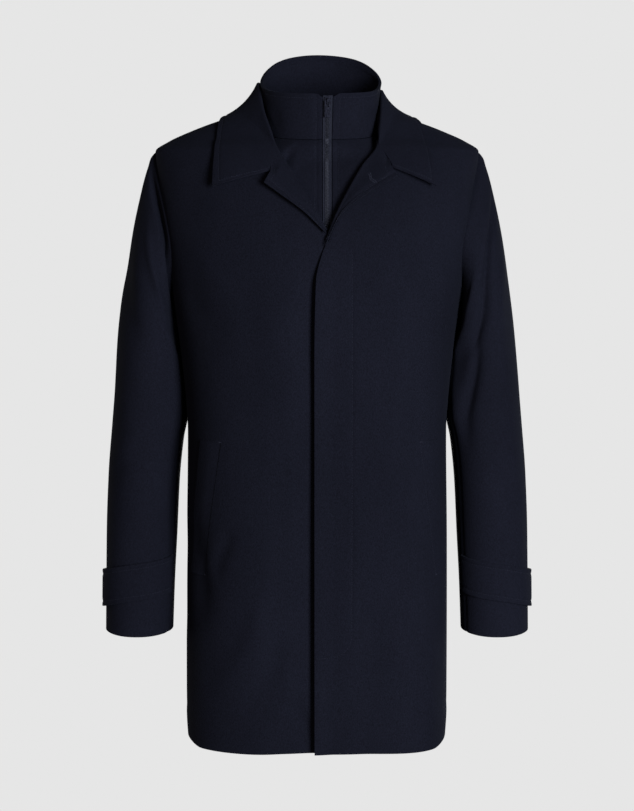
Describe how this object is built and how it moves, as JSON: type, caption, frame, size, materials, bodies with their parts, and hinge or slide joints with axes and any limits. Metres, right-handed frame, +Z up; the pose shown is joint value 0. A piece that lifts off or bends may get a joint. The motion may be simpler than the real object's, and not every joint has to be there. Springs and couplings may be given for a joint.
{
  "type": "wool coat",
  "caption": "Hip-covering wool coat with a fly front, a turned collar and lapels, strapped cuffs, slanted welt pockets and a zipped funnel-neck bib, filled out as worn.",
  "frame": {"origin": "midway between the two points where the shoulder seams meet the neck, where the wearer's shoulders carry the coat", "axes": "+Z up, the front faces -Y, the wearer's left is +X"},
  "size_m": [0.602, 0.2909, 0.9476],
  "materials": {
    "wool": "milled navy wool with a short nap",
    "zip_tape": "woven tape",
    "zip_metal": "dark semi-matt",
    "button": "soft gloss"
  },
  "bodies": {
    "coat": {"back_left": "wool", "back_right": "wool", "front_left": "wool", "front_right": "wool", "sleeve_upper_left": "wool", "sleeve_upper_right": "wool", "sleeve_under_left": "wool", "sleeve_under_right": "wool", "cuff_strap_left": "wool", "cuff_strap_right": "wool", "cuff_button_left": "button", "cuff_button_right": "button", "pocket_welt_left": "wool", "pocket_welt_right": "wool", "lapel_left": "wool", "lapel_right": "wool", "collar": "wool", "bib_left": "wool", "bib_right": "wool", "bib_funnel": "wool", "zip_tape_left": "zip_tape", "zip_tape_right": "zip_tape", "zip_slider": "zip_metal"},
    "pull": {"zip_pull": "zip_metal"}
  },
  "joints": [
    {"name": "pull_swing", "type": "hinge", "parent": "coat", "child": "pull", "pos_m": [0.01435, -0.07237, 0.00006], "axis": [-1, 0, 0], "range_deg": [0, 150]}
  ]
}
